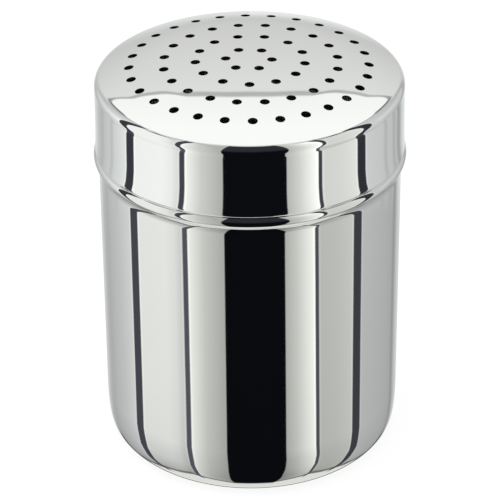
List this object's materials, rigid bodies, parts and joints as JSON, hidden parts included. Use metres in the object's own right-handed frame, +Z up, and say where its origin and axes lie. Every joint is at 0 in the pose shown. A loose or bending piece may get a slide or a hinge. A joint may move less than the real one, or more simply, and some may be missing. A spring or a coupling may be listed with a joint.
{
  "type": "spice shaker",
  "caption": "Polished steel table shaker: a straight round cup with a stop ring round its wall, and a slip-on lid whose domed top has rings of small dispensing holes.",
  "frame": {"origin": "centre of the cup's standing ring, in the plane that it rests on", "axes": "+Z up along the common axis of cup and lid; the rings of holes are counted from +X"},
  "size_m": [0.0714, 0.0714, 0.0958],
  "materials": {
    "cup_steel": "mirror polished stainless steel sheet",
    "lid_steel": "mirror polished stainless steel sheet"
  },
  "bodies": {
    "cup": {"cup_body": "cup_steel"},
    "lid": {"perforated_lid": "lid_steel"}
  },
  "joints": [
    {"name": "lid_lift", "type": "slide", "parent": "cup", "child": "lid", "axis": [0, 0, 1], "range_m": [0, 0.045]}
  ]
}
